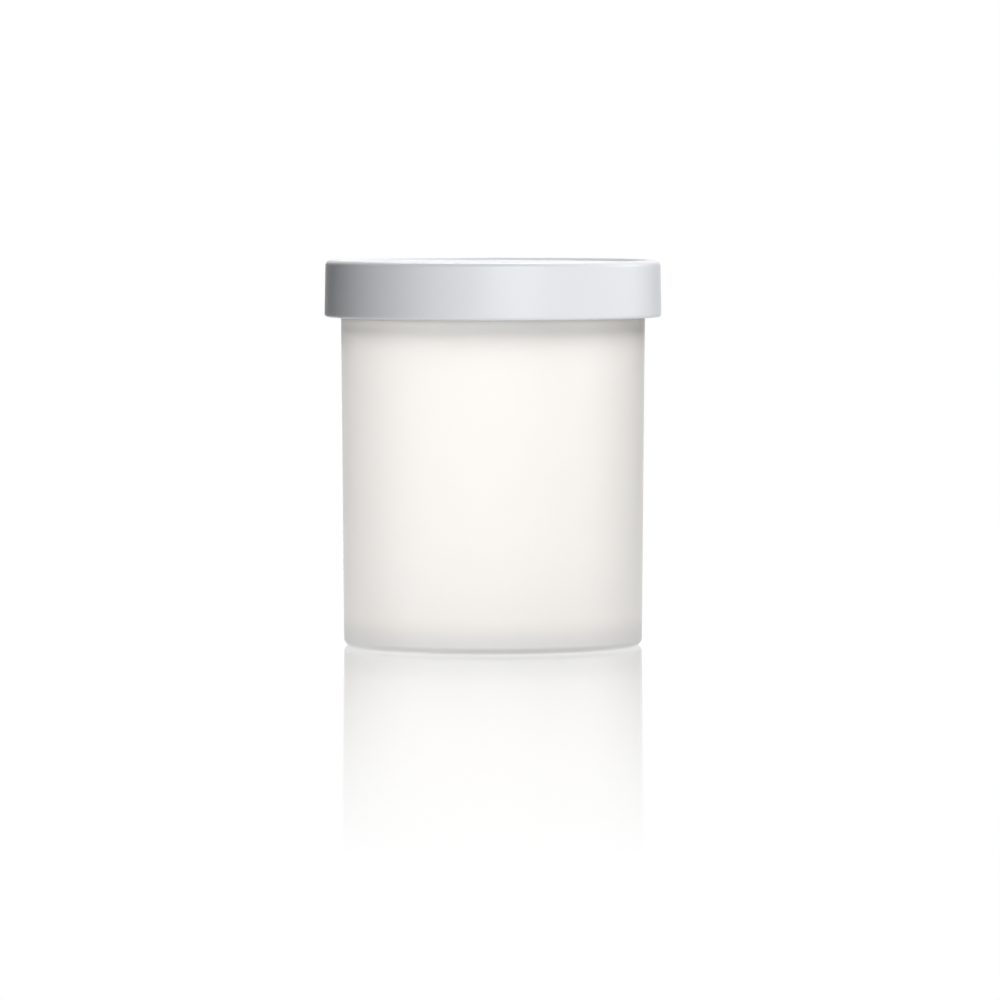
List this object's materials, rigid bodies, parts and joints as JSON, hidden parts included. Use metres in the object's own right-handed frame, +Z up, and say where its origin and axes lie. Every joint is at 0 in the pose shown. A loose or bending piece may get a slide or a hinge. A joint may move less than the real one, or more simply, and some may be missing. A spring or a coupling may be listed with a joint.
{
  "type": "screw-cap container",
  "caption": "Cylindrical translucent plastic jar with a wide, overhanging white screw cap, a threaded neck, a soft sealing disc, and a cap top recessed for stacking.",
  "frame": {"origin": "centre of the foot ring, on the surface that the container stands on", "axes": "+Z up along the common axis of the jar and the cap; +X and +Y are level, with +X to the right and +Y away from the viewer of the picture"},
  "size_m": [0.0736, 0.0736, 0.0842],
  "materials": {
    "natural_plastic": "natural translucent polypropylene, satin",
    "white_plastic": "opaque white polypropylene, semi-gloss",
    "liner_foam": "closed-cell polyethylene foam with a smooth face"
  },
  "bodies": {
    "jar": {"jar_body": "natural_plastic"},
    "liner": {"cap_liner": "liner_foam"},
    "cap": {"screw_cap": "white_plastic"}
  },
  "joints": [
    {"name": "cap_rise", "type": "slide", "parent": "jar", "child": "liner", "axis": [0, 0, 1], "range_m": [0, 0.01261]},
    {"name": "cap_turn", "type": "hinge", "parent": "liner", "child": "cap", "pos_m": [0, 0, 0.0822], "axis": [0, 0, 1], "range_deg": [0, 1080]}
  ],
  "couplings": [
    {"joint": "cap_rise", "follows": "cap_turn", "m_per_rad": 0.00066845}
  ]
}
